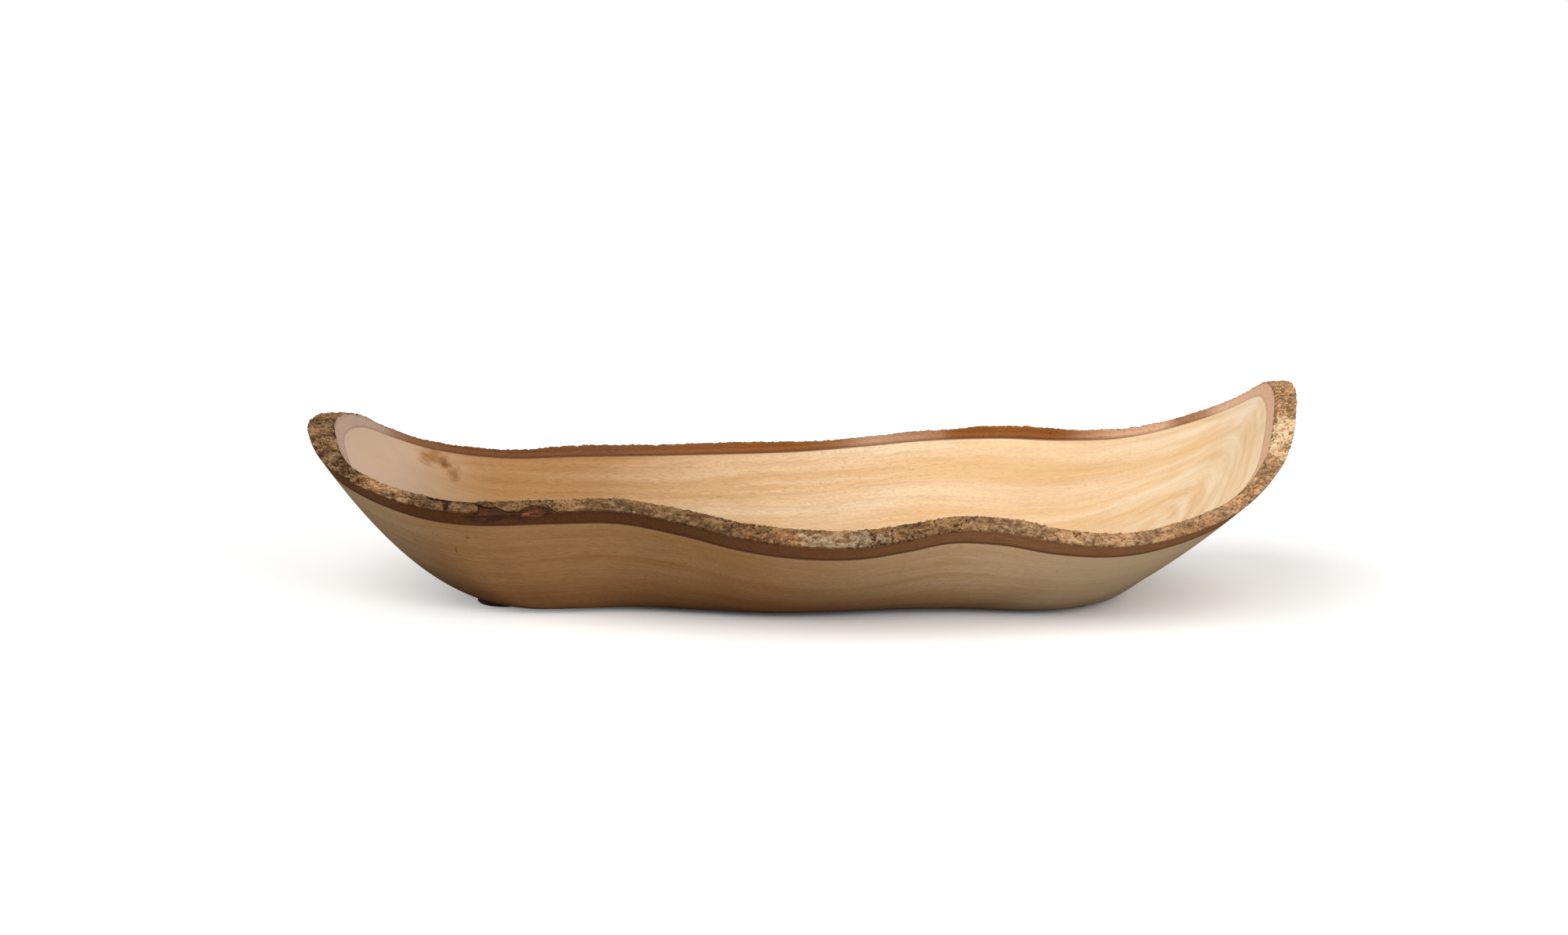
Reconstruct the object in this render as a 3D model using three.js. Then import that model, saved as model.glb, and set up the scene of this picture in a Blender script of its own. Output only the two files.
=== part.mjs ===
import * as THREE from 'three';

// A natural-edge bowl carved from half a log: millimetres, +Z up, X along the log.
// The bark side of the log faces up, so the rim follows the round of the log:
// high at the two ends, low along the two sides.

// Overall size, over the bark
const LENGTH = 480;
const WIDTH = 176;
// Height of the bark above the table where the log's ridge crosses each end
const LEFT_HEIGHT = 85;
const RIGHT_HEIGHT = 102;
// Radius of the log over its bark, and how far its ridge lies behind the bowl's middle
const LOG_RADIUS = 104;
const RIDGE_BACK = 4.2;

// The rim seen from above, as shares of half the length and half the width.
// It starts at the left end and runs along the near side first.
const RIM_PLAN = [
  [-1.000, -0.070], [-0.972, -0.395], [-0.933, -0.552], [-0.868, -0.670],
  [-0.770, -0.767], [-0.665, -0.811], [-0.500, -0.819], [-0.367, -0.827],
  [-0.242, -0.880], [-0.125, -0.937], [0.000, -0.970], [0.117, -0.977],
  [0.208, -0.961], [0.300, -0.939], [0.396, -0.951], [0.500, -0.984],
  [0.604, -0.998], [0.688, -0.989], [0.790, -0.948], [0.850, -0.899],
  [0.907, -0.800], [0.951, -0.640], [0.979, -0.326], [0.990, -0.020],
  [0.982, 0.450], [0.950, 0.660], [0.892, 0.805], [0.817, 0.902],
  [0.700, 0.975], [0.562, 0.981], [0.417, 0.953], [0.270, 0.952],
  [0.146, 0.975], [0.000, 0.998], [-0.242, 0.998], [-0.500, 0.986],
  [-0.646, 0.981], [-0.783, 0.918], [-0.862, 0.828], [-0.930, 0.662],
  [-0.969, 0.440], [-0.990, 0.195],
];

// The flat foot seen from above, as shares of half its own length and width, likewise
const FOOT_PLAN = [
  [-0.993, -0.063], [-0.970, -0.383], [-0.944, -0.598], [-0.902, -0.776],
  [-0.820, -0.903], [-0.684, -0.883], [-0.490, -0.811], [-0.297, -0.901],
  [-0.103, -1.000], [0.090, -0.955], [0.284, -0.865], [0.484, -0.829],
  [0.665, -0.919], [0.774, -0.901], [0.877, -0.775], [0.955, -0.586],
  [1.003, -0.279], [1.010, 0.117], [0.974, 0.550], [0.910, 0.802],
  [0.800, 0.928], [0.645, 0.928], [0.452, 0.901], [0.258, 0.937],
  [0.000, 1.000], [-0.323, 1.000], [-0.613, 0.982], [-0.806, 0.910],
  [-0.923, 0.730], [-0.981, 0.369],
];

// Thickness of the rim seen from above, along the sides and across the two ends
const SIDE_WALL = 4.5;
const LEFT_WALL = 12.8;
const RIGHT_WALL = 10.6;
// The near side is thinner by this much towards the right, round this place on X
const THINNING = 1.3;
const THIN_PLACE = 145;
const THIN_REACH = 48;
// Size of the foot, and how far it lies behind the bowl's middle and to the right of it
const FOOT_LENGTH = 310;
const FOOT_WIDTH = 111;
const FOOT_BACK = 3.5;
const FOOT_RIGHT = 1.5;
// Wood between the hollow and the foot
const FLOOR_THICKNESS = 10;
// The hollow's flat floor as a share of its mouth, how far back it lies, and its turn
const FLOOR_SHARE = 0.5;
const FLOOR_BACK = 4;
const FLOOR_TURN = THREE.MathUtils.degToRad(2.5);
// How strongly the outside swells between foot and rim: 1 would be a straight slope
const SIDE_SWELL = 1.9;
const LEFT_SWELL = 1.74;
const RIGHT_SWELL = 1.2;
// The same for the hollow
const DISH = 2.4;

// Bark, measured square to the log's surface
const ROUGH_BARK = 0.8;
const NEAR_INNER_BARK = 5.2;
const FAR_INNER_BARK = 3.1;
const LEFT_INNER_BARK = 6.4;
const RIGHT_INNER_BARK = 6;
// How far its lumps stand above the log's round, and how long they are
const RELIEF = 1;
const LUMP_LENGTH = 20;
// Width of the cracks between the plates of rough bark
const CRACK = 1.5;
// Spacing of the wall's facets along the rim
const FACET = 9.5;

// Plates of rough bark, in order along the rim: where each one ends, as a share of
// the way round, and whether the outer half of it has broken away
const FIRST_PLATE = -0.03;
const PLATES = [
  { name: 'bark_left_tip', end: 0.036 },
  { name: 'bark_left_corner', end: 0.066 },
  { name: 'bark_near_left', end: 0.093 },
  { name: 'bark_flake', end: 0.105, lift: 0.9 },
  { name: 'bark_broken_strip', end: 0.137, broken: true },
  { name: 'bark_near_middle', end: 0.222 },
  { name: 'bark_near_dip', end: 0.318 },
  { name: 'bark_near_right', end: 0.388 },
  { name: 'bark_right_corner', end: 0.436 },
  { name: 'bark_right_pale', end: 0.46 },
  { name: 'bark_right_tip', end: 0.545 },
  { name: 'bark_far_right', end: 0.636 },
  { name: 'bark_far_middle', end: 0.758 },
  { name: 'bark_far_left', end: 0.97 },
];
// Width of the strip that is left where the bark has broken away, as a share of the rim
const STRIP_SHARE = 0.42;

// Felt pads under the foot
const PAD_DIAMETER = 29;
const PAD_HEIGHT = 2;
const PAD_EDGE = 0.5;
const PAD_LEFT = -143;
const PAD_RIGHT = 128;
const PAD_NEAR = -22;
const PAD_FAR = 30;

const FOOT_Z = PAD_HEIGHT;
const FLOOR_Z = FOOT_Z + FLOOR_THICKNESS;
const UP = new THREE.Vector3(0, 0, 1);

function ridgeHeight(x) {
  return THREE.MathUtils.lerp(LEFT_HEIGHT, RIGHT_HEIGHT, x / LENGTH + 0.5);
}

// Sets a point at the given depth under the bark surface, measured square to it
function setDepth(p, depth) {
  const across = p.y - RIDGE_BACK;
  p.z = ridgeHeight(p.x) - LOG_RADIUS + Math.sqrt((LOG_RADIUS - depth) ** 2 - across ** 2);
  return p;
}

// How deep a point lies under the bark surface, square to it
function depthUnderBark(p) {
  const centre = ridgeHeight(p.x) - LOG_RADIUS;
  return LOG_RADIUS - Math.hypot(p.y - RIDGE_BACK, p.z - centre);
}

// A plan as a smooth closed curve that just fills the given length and width
function planCurve(plan, length, width) {
  const points = plan.map(([x, y]) => new THREE.Vector3(x, y, 0));
  const raw = new THREE.CatmullRomCurve3(points, true, 'centripetal');
  const box = new THREE.Box3().setFromPoints(raw.getPoints(1200));
  const centre = box.getCenter(new THREE.Vector3());
  const size = box.getSize(new THREE.Vector3());
  const fitted = points.map((p) => new THREE.Vector3(
    (p.x - centre.x) * length / size.x, (p.y - centre.y) * width / size.y, 0));
  const curve = new THREE.CatmullRomCurve3(fitted, true, 'centripetal');
  curve.arcLengthDivisions = 2400;
  return curve;
}

const rim = planCurve(RIM_PLAN, LENGTH, WIDTH);
const footEdge = planCurve(FOOT_PLAN, FOOT_LENGTH, FOOT_WIDTH);
const rimLength = rim.getLength();

// Positions along the rim: a crack opens each plate, then come its even facets
function listStations() {
  const crack = CRACK / rimLength;
  const shares = [];
  let start = FIRST_PLATE;
  for (const plate of PLATES) {
    const first = start + crack;
    const facets = Math.max(2, Math.round((plate.end - first) * rimLength / FACET));
    plate.from = shares.length;
    for (let i = 0; i <= facets; i++) {
      shares.push(first + (plate.end - first) * i / facets);
    }
    plate.to = shares.length - 1;
    start = plate.end;
  }
  return shares;
}

// The wall at one position along the rim: its plan points and its shape
function wallAt(share) {
  const u = ((share % 1) + 1) % 1;
  const outer = rim.getPointAt(u);
  const along = rim.getTangentAt(u);
  const inward = new THREE.Vector3(-along.y, along.x, 0);
  const endness = inward.x ** 2;
  const rightness = outer.x / LENGTH + 0.5;
  const endWall = THREE.MathUtils.lerp(LEFT_WALL, RIGHT_WALL, rightness);
  const nearness = Math.exp(-(((outer.x - THIN_PLACE) / THIN_REACH) ** 2));
  const thinned = THINNING * nearness * Math.max(0, inward.y);
  const thick = THREE.MathUtils.lerp(SIDE_WALL, endWall, endness) - thinned;
  const inner = outer.clone().addScaledVector(inward, thick);
  const foot = footEdge.getPointAt(u).add(new THREE.Vector3(FOOT_RIGHT, FOOT_BACK, FOOT_Z));
  const floor = inner.clone().multiplyScalar(FLOOR_SHARE)
    .applyAxisAngle(UP, FLOOR_TURN).add(new THREE.Vector3(0, FLOOR_BACK, FLOOR_Z));
  const endSwell = THREE.MathUtils.lerp(LEFT_SWELL, RIGHT_SWELL, rightness);
  const swell = THREE.MathUtils.lerp(SIDE_SWELL, endSwell, Math.abs(outer.x * 2 / LENGTH) ** 2);
  for (const p of [outer, inner]) setDepth(p, 0);
  return { outer, inner, foot, floor, swell, endness };
}

// A point of a wall that rises from low to high as the given power of the way across
function rising(low, high, power, t) {
  const p = low.clone().lerp(high, t);
  p.z = low.z + (high.z - low.z) * t ** power;
  return p;
}

const outsideAt = (wall, t) => rising(wall.foot, wall.outer, wall.swell, t);
const insideAt = (wall, t) => rising(wall.floor, wall.inner, DISH, t);

// Finds how far up a wall the given depth under the bark is met
function climbTo(surface, wall, depth) {
  let low = 0.3;
  let high = 1.1;
  for (let i = 0; i < 40; i++) {
    const middle = (low + high) / 2;
    if (depthUnderBark(surface(wall, middle)) > depth) {
      low = middle;
    } else {
      high = middle;
    }
  }
  return low;
}

// Depth of the wood: bark is thicker on the log's near side, and thickest on its ridge
function barkDepth(wall) {
  const farness = wall.outer.y / WIDTH + 0.5;
  const side = THREE.MathUtils.lerp(NEAR_INNER_BARK, FAR_INNER_BARK, farness);
  const rightness = wall.outer.x / LENGTH + 0.5;
  const end = THREE.MathUtils.lerp(LEFT_INNER_BARK, RIGHT_INNER_BARK, rightness);
  return ROUGH_BARK + THREE.MathUtils.lerp(side, end, wall.endness);
}

// Three points across the rim at one depth: outside, middle, inside
function acrossRim(wall, depth, innerShare) {
  const outside = outsideAt(wall, climbTo(outsideAt, wall, depth));
  const inside = insideAt(wall, climbTo(insideAt, wall, depth));
  const middle = setDepth(inside.clone().lerp(outside, innerShare), depth);
  return [outside, middle, inside];
}

// Gentle lumps of the rough bark, between 0 and 1
function lumps(p) {
  const [x, y] = [p.x / LUMP_LENGTH, p.y / LUMP_LENGTH];
  const waves = Math.sin(6.2 * x + 3.4 * y)
    + Math.sin(2.6 * x - 8.2 * y + 1.3)
    + Math.sin(10.6 * x + 5.8 * y + 4.1);
  return waves / 6 + 0.5;
}

const stations = listStations();
const walls = stations.map(wallAt);

// The middle line of the rim moves towards the hollow where the bark has broken away
function innerShareAt(index) {
  const strip = PLATES.find((plate) => plate.broken && index >= plate.from && index <= plate.to);
  return strip ? STRIP_SHARE : 0.5;
}

const cambium = walls.map((wall, i) => acrossRim(wall, barkDepth(wall), innerShareAt(i)));
const roughBase = walls.map((wall, i) => acrossRim(wall, ROUGH_BARK, innerShareAt(i)));

// Collects triangles; a four-cornered face is split along its shorter diagonal, so
// two faces that meet are split alike
class Skin {
  constructor() {
    this.values = [];
  }

  triangle(a, b, c) {
    for (const p of [a, b, c]) this.values.push(p.x, p.y, p.z);
  }

  face(a, b, c, d) {
    if (a.distanceToSquared(c) <= b.distanceToSquared(d)) {
      this.triangle(a, b, c);
      this.triangle(a, c, d);
    } else {
      this.triangle(a, b, d);
      this.triangle(b, c, d);
    }
  }

  // Joins one ring of points to the next; closed rings come back to their start
  band(lower, upper, closed) {
    const count = lower.length;
    for (let i = 0; i < (closed ? count : count - 1); i++) {
      const j = (i + 1) % count;
      this.face(lower[i], lower[j], upper[j], upper[i]);
    }
  }

  // Closes a flat ring, facing up or down
  cap(ring, facesUp) {
    const plan = ring.map((p) => new THREE.Vector2(p.x, p.y));
    for (const [a, b, c] of THREE.ShapeUtils.triangulateShape(plan, [])) {
      if (facesUp) this.triangle(ring[a], ring[b], ring[c]);
      else this.triangle(ring[a], ring[c], ring[b]);
    }
  }

  geometry() {
    const geometry = new THREE.BufferGeometry();
    geometry.setAttribute('position', new THREE.Float32BufferAttribute(this.values, 3));
    geometry.computeVertexNormals();
    return geometry;
  }
}

// Steps between 0 and 1, without the two ends
function stepsBetween(count) {
  return Array.from({ length: count - 1 }, (_, i) => (i + 1) / count);
}

// The carved wood: foot, outside, the line under the bark, the hollow and its floor
function carveBody() {
  const skin = new Skin();
  const outsideSteps = stepsBetween(8);
  const insideSteps = stepsBetween(9).reverse();
  const rings = [walls.map((wall) => wall.foot)];
  const outsideTop = walls.map((wall) => climbTo(outsideAt, wall, barkDepth(wall)));
  const insideTop = walls.map((wall) => climbTo(insideAt, wall, barkDepth(wall)));
  for (const step of outsideSteps) {
    rings.push(walls.map((wall, i) => outsideAt(wall, outsideTop[i] * step)));
  }
  for (const place of [0, 1, 2]) rings.push(cambium.map((points) => points[place]));
  for (const step of insideSteps) {
    rings.push(walls.map((wall, i) => insideAt(wall, insideTop[i] * step)));
  }
  rings.push(walls.map((wall) => wall.floor));
  skin.cap(rings[0], false);
  for (let i = 0; i + 1 < rings.length; i++) skin.band(rings[i], rings[i + 1], true);
  skin.cap(rings.at(-1), true);
  return skin.geometry();
}

// The smooth inner bark: one unbroken ring that sits on the wood
function layInnerBark() {
  const skin = new Skin();
  const ring = (layer, place) => layer.map((points) => points[place]);
  const rings = [ring(cambium, 0), ring(roughBase, 0), ring(roughBase, 1), ring(roughBase, 2),
    ring(cambium, 2), ring(cambium, 1), ring(cambium, 0)];
  for (let i = 0; i + 1 < rings.length; i++) skin.band(rings[i], rings[i + 1], true);
  return skin.geometry();
}

// One plate of rough bark, seated on the inner bark between two cracks
function layPlate(plate) {
  const skin = new Skin();
  const places = plate.broken ? [1, 2] : [0, 1, 2];
  const lift = plate.lift ?? 0;
  const rows = [];
  for (let i = plate.from; i <= plate.to; i++) {
    const base = places.map((place) => roughBase[i][place]);
    const whole = acrossRim(walls[i], 0, innerShareAt(i));
    const top = places.map((place) => {
      const p = whole[place];
      return p.add(new THREE.Vector3(0, 0, RELIEF * lumps(p) + lift));
    });
    rows.push({ base, top });
  }
  const line = (side, k) => rows.map((row) => row[side][k]);
  const last = places.length - 1;
  skin.band(line('base', 0), line('top', 0), false);
  for (let k = 0; k < last; k++) {
    skin.band(line('top', k), line('top', k + 1), false);
    skin.band(line('base', k + 1), line('base', k), false);
  }
  skin.band(line('top', last), line('base', last), false);
  for (const [row, facesOn] of [[rows[0], false], [rows.at(-1), true]]) {
    for (let k = 0; k < last; k++) {
      const corners = [row.base[k], row.top[k], row.top[k + 1], row.base[k + 1]];
      if (facesOn) corners.reverse();
      skin.face(...corners);
    }
  }
  return skin.geometry();
}

// A round felt pad with its edges eased, standing on the table
function cutPad(x, y) {
  const radius = PAD_DIAMETER / 2;
  const outline = [[0, 0], [radius - PAD_EDGE, 0], [radius, PAD_EDGE],
    [radius, PAD_HEIGHT - PAD_EDGE], [radius - PAD_EDGE, PAD_HEIGHT], [0, PAD_HEIGHT]];
  const geometry = new THREE.LatheGeometry(outline.map(([r, z]) => new THREE.Vector2(r, z)), 36);
  geometry.rotateX(Math.PI / 2);
  geometry.translate(x, y, 0);
  return geometry;
}

const wood = new THREE.MeshStandardMaterial({ color: 0xc49a6c, roughness: 0.55, metalness: 0 });
const innerBark = new THREE.MeshStandardMaterial({ color: 0x6b4630, roughness: 0.8, metalness: 0 });
const roughBark = new THREE.MeshStandardMaterial({ color: 0x8a7355, roughness: 0.95, metalness: 0 });
const paleBark = new THREE.MeshStandardMaterial({ color: 0xc2ae8c, roughness: 0.95, metalness: 0 });
const felt = new THREE.MeshStandardMaterial({ color: 0x4a2730, roughness: 1, metalness: 0 });

const bowl = new THREE.Group();

function add(name, geometry, material) {
  const mesh = new THREE.Mesh(geometry, material);
  mesh.name = name;
  bowl.add(mesh);
}

add('bowl_body', carveBody(), wood);
add('inner_bark', layInnerBark(), innerBark);
for (const plate of PLATES) {
  add(plate.name, layPlate(plate), plate.name === 'bark_right_pale' ? paleBark : roughBark);
}
for (const [side, x] of [['left', PAD_LEFT], ['right', PAD_RIGHT]]) {
  for (const [row, y] of [['near', PAD_NEAR], ['far', PAD_FAR]]) {
    add(`pad_${row}_${side}`, cutPad(x, y), felt);
  }
}

export default bowl;
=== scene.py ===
import math

import bpy
import numpy as np
from bpy.props import (FloatProperty, FloatVectorProperty, IntProperty,
                       PointerProperty)
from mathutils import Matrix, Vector, noise


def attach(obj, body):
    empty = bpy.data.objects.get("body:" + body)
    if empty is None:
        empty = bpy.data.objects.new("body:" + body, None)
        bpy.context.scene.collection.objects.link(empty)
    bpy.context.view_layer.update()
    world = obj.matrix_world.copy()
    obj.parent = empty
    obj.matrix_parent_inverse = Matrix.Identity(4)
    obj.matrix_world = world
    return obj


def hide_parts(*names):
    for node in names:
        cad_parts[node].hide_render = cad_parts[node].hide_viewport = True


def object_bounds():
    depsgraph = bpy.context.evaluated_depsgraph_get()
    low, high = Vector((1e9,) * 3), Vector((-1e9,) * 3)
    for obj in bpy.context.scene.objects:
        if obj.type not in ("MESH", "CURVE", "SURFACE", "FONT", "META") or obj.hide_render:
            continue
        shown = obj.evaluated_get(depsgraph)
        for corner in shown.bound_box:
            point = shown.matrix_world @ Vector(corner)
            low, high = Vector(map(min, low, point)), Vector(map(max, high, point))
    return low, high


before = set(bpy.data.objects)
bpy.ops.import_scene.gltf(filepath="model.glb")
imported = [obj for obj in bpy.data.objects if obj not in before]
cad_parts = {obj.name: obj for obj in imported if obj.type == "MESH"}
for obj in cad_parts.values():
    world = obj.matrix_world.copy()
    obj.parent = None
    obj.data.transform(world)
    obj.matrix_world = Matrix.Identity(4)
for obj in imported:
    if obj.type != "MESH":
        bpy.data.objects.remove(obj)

CAD_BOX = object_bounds()

bl_info = {
    "name": "Natural-edge bowl",
    "version": (1, 0, 0),
    "blender": (4, 5, 0),
    "location": "View3D > Sidebar > Bowl",
    "description": "Carves a long bowl from half a log, with its bark left on the rim",
    "category": "Object",
}

# Lengths are in metres; a millimetre is written as 1 * MM
MM = 0.001

# The rim seen from above, as shares of half the length and half the width,
# from the left end along the near side first
RIM_PLAN = np.array([
    (-1.000, -0.070), (-0.972, -0.395), (-0.933, -0.552), (-0.868, -0.670),
    (-0.770, -0.767), (-0.665, -0.811), (-0.500, -0.819), (-0.367, -0.827),
    (-0.242, -0.880), (-0.125, -0.937), (0.000, -0.970), (0.117, -0.977),
    (0.208, -0.961), (0.300, -0.939), (0.396, -0.951), (0.500, -0.984),
    (0.604, -0.998), (0.688, -0.989), (0.790, -0.948), (0.850, -0.899),
    (0.907, -0.800), (0.951, -0.640), (0.979, -0.326), (0.990, -0.020),
    (0.982, 0.450), (0.950, 0.660), (0.892, 0.805), (0.817, 0.902),
    (0.700, 0.975), (0.562, 0.981), (0.417, 0.953), (0.270, 0.952),
    (0.146, 0.975), (0.000, 0.998), (-0.242, 0.998), (-0.500, 0.986),
    (-0.646, 0.981), (-0.783, 0.918), (-0.862, 0.828), (-0.930, 0.662),
    (-0.969, 0.440), (-0.990, 0.195)])

# The flat foot seen from above, likewise, as shares of half its own length and width
FOOT_PLAN = np.array([
    (-0.993, -0.063), (-0.970, -0.383), (-0.944, -0.598), (-0.902, -0.776),
    (-0.820, -0.903), (-0.684, -0.883), (-0.490, -0.811), (-0.297, -0.901),
    (-0.103, -1.000), (0.090, -0.955), (0.284, -0.865), (0.484, -0.829),
    (0.665, -0.919), (0.774, -0.901), (0.877, -0.775), (0.955, -0.586),
    (1.003, -0.279), (1.010, 0.117), (0.974, 0.550), (0.910, 0.802),
    (0.800, 0.928), (0.645, 0.928), (0.452, 0.901), (0.258, 0.937),
    (0.000, 1.000), (-0.323, 1.000), (-0.613, 0.982), (-0.806, 0.910),
    (-0.923, 0.730), (-0.981, 0.369)])

# Plates of rough bark in order along the rim, and where each ends as a share of the way
FIRST_PLATE = -0.03
PLATES = [
    ("bark_left_tip", 0.036), ("bark_left_corner", 0.066),
    ("bark_near_left", 0.093), ("bark_flake", 0.105),
    ("bark_broken_strip", 0.137), ("bark_near_middle", 0.222),
    ("bark_near_dip", 0.318), ("bark_near_right", 0.388),
    ("bark_right_corner", 0.436), ("bark_right_pale", 0.46),
    ("bark_right_tip", 0.545), ("bark_far_right", 0.636),
    ("bark_far_middle", 0.758), ("bark_far_left", 0.97)]


def srgb(*screen):
    """Red, green and blue from 0 to 255 on screen, as a linear colour."""
    shades = (part / 255 for part in screen)
    return tuple(c / 12.92 if c <= 0.04045 else ((c + 0.055) / 1.055) ** 2.4 for c in shades)


def length_prop(name, description, default, low=0.0):
    return FloatProperty(name=name, description=description, default=default,
                         min=low, precision=5, subtype='DISTANCE', unit='LENGTH')


def share_prop(name, description, default, high=4.0):
    return FloatProperty(name=name, description=description, default=default,
                         min=0.0, max=high)


def colour_prop(name, description, default):
    return FloatVectorProperty(name=name, description=description, default=default,
                               size=3, min=0.0, max=1.0, subtype='COLOR')


class BowlSizes(bpy.types.PropertyGroup):
    """Sizes of the carved wood"""
    length: length_prop("Length", "Length over the bark", 480 * MM)
    width: length_prop("Width", "Width over the bark", 176 * MM)
    left_height: length_prop("Left height", "Height of the log's ridge at the left end", 85 * MM)
    right_height: length_prop("Right height", "Height of the log's ridge at the right end",
                              102 * MM)
    log_radius: length_prop("Log radius", "Radius of the log over its bark", 104 * MM)
    ridge_back: length_prop("Ridge back", "How far the log's ridge lies behind the middle",
                            4.2 * MM)
    side_wall: length_prop("Side wall", "Thickness of the rim along the sides", 4.5 * MM)
    left_wall: length_prop("Left wall", "Thickness of the rim across the left end", 12.8 * MM)
    right_wall: length_prop("Right wall", "Thickness of the rim across the right end", 10.6 * MM)
    thinning: length_prop("Thinning", "How much thinner the near side is towards the right",
                          1.3 * MM)
    thin_place: length_prop("Thin place", "Where on X the near side is thinnest", 145 * MM)
    thin_reach: length_prop("Thin reach", "How far along X the near side is thinner", 48 * MM)
    foot_length: length_prop("Foot length", "Length of the flat foot", 310 * MM)
    foot_width: length_prop("Foot width", "Width of the flat foot", 111 * MM)
    foot_back: length_prop("Foot back", "How far the foot lies behind the middle", 3.5 * MM)
    foot_right: length_prop("Foot right", "How far the foot lies to the right of the middle",
                            1.5 * MM)
    floor_thickness: length_prop("Floor", "Wood between the hollow and the foot", 10 * MM)
    floor_share: share_prop("Floor share", "Flat floor of the hollow as a share of its mouth",
                            0.5, 0.9)
    floor_back: length_prop("Floor back", "How far the hollow's floor lies behind the middle",
                            4 * MM)
    floor_turn: FloatProperty(
        name="Floor turn", description="Turn of the hollow's floor seen from above",
        default=math.radians(2.5), subtype='ANGLE')
    side_swell: share_prop("Side swell", "How strongly the outside swells along the sides", 1.9)
    left_swell: share_prop("Left swell", "How strongly the outside swells at the left end", 1.74)
    right_swell: share_prop("Right swell", "How strongly the outside swells at the right end", 1.2)
    dish: share_prop("Dish", "How strongly the hollow is dished", 2.4)
    places: IntProperty(
        name="Places", description="Places along the rim at which the wall is worked out",
        default=1040, min=120, max=1600)


class WoodLook(bpy.types.PropertyGroup):
    """Colours of the oiled wood"""
    pale: colour_prop("Pale wood", "Lightest wood between the rings", srgb(254, 230, 194))
    honey: colour_prop("Honey wood", "Main colour of the wood", srgb(239, 201, 149))
    # The brown and tawny tints also serve as painted shade, on the outside and in the left of the
    # hollow
    brown: colour_prop("Brown wood", "Tint of the older wood outside", srgb(190, 160, 129))
    tawny: colour_prop("Tawny wood", "Tint of the older wood in the hollow", srgb(188, 163, 131))
    streak: colour_prop("Streaks", "Darker streaks and pores along the grain", srgb(178, 120, 60))
    blush: colour_prop("Blush", "Pinkish young wood at the ends of the hollow",
                       srgb(214, 182, 152))
    line: colour_prop("Cambium line", "Thin dark line between wood and bark", srgb(84, 50, 32))
    stain: colour_prop("Stain", "Olive stain of a small knot in the hollow", srgb(190, 150, 56))
    ring_width: length_prop("Ring width", "Spacing of the growth rings", 6.4 * MM)


class BarkLook(bpy.types.PropertyGroup):
    """Sizes and colours of the bark"""
    rough: length_prop("Rough bark", "Thickness of the rough bark", 0.8 * MM)
    near_inner: length_prop("Near inner bark", "Thickness of the inner bark, near side", 5.2 * MM)
    far_inner: length_prop("Far inner bark", "Thickness of the inner bark, far side", 3.1 * MM)
    left_inner: length_prop("Left inner bark", "Thickness of the inner bark, left end", 6.4 * MM)
    right_inner: length_prop("Right inner bark", "Thickness of the inner bark, right end", 6 * MM)
    relief: length_prop("Relief", "Height of the rough bark's lumps", 1 * MM)
    crack: length_prop("Crack", "Width of the cracks between the plates", 0.06 * MM)
    grain: length_prop("Detail", "Spacing of the rough bark's mesh", 0.36 * MM)
    scale: length_prop("Scale", "Width of the bark's flat scales", 1.7 * MM)
    tan: colour_prop("Tan", "Main colour of the rough bark", srgb(200, 149, 99))
    grey: colour_prop("Grey", "Weathered grey of the rough bark", srgb(142, 106, 73))
    dark: colour_prop("Fissures", "Dark fissures of the rough bark", srgb(66, 40, 20))
    crust: colour_prop("Crust", "Lit edges of the bark's flakes", srgb(226, 186, 142))
    beige: colour_prop("Beige", "Pale beige stretches of the rough bark", srgb(236, 202, 162))
    lichen: colour_prop("Lichen", "Pale crust of lichen on the rough bark", srgb(206, 184, 152))
    rust: colour_prop("Rust", "Orange-brown spots of the rough bark", srgb(178, 112, 62))
    brown: colour_prop("Inner bark", "Smooth inner bark at the right", srgb(166, 113, 74))
    deep: colour_prop("Dark inner bark", "Smooth inner bark at the left", srgb(98, 60, 32))
    red: colour_prop("Red bark", "Reddish stretches of the inner bark", srgb(144, 88, 42))
    pink: colour_prop("Pink bark", "Pale inner bark at the left end of the hollow",
                      srgb(200, 168, 149))
    peach: colour_prop("Peach bark", "Pale inner bark at the right end of the hollow",
                       srgb(228, 184, 150))
    torn: colour_prop("Torn bark", "Dark bark where a plate has broken away", srgb(74, 44, 30))
    fibre: colour_prop("Torn fibres", "Orange fibres of the torn bark", srgb(192, 112, 66))


class PadLook(bpy.types.PropertyGroup):
    """Sizes and colour of the felt pads"""
    diameter: length_prop("Diameter", "Diameter of a pad", 29 * MM)
    height: length_prop("Height", "Height of a pad", 2 * MM)
    left: length_prop("Left", "Place of the left pads on X", -0.143, -1.0)
    right: length_prop("Right", "Place of the right pads on X", 0.128, -1.0)
    near: length_prop("Near", "Place of the near pads on Y", -0.022, -1.0)
    far: length_prop("Far", "Place of the far pads on Y", 0.030, -1.0)
    felt: colour_prop("Felt", "Colour of the felt", srgb(72, 34, 42))


class StudioLook(bpy.types.PropertyGroup):
    """Light and floor"""
    key: share_prop("Key light", "Strength of the soft light from above", 1.62)
    front: share_prop("Front light", "Strength of the weak light from the front", 12.8, 100.0)
    sky: share_prop("Sky", "Strength of the pale surroundings", 0.46)
    floor: colour_prop("Floor", "Colour of the floor", (1.0, 0.985, 0.965))
    bounce: share_prop("Bounce", "How much of its light the floor gives back to the bowl",
                       0.09, 1.0)
    glow: share_prop("Glow", "How much whiter the camera sees the floor away from the bowl",
                     0.25, 1.0)


def lerp(a, b, t):
    return a + (b - a) * t


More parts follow.
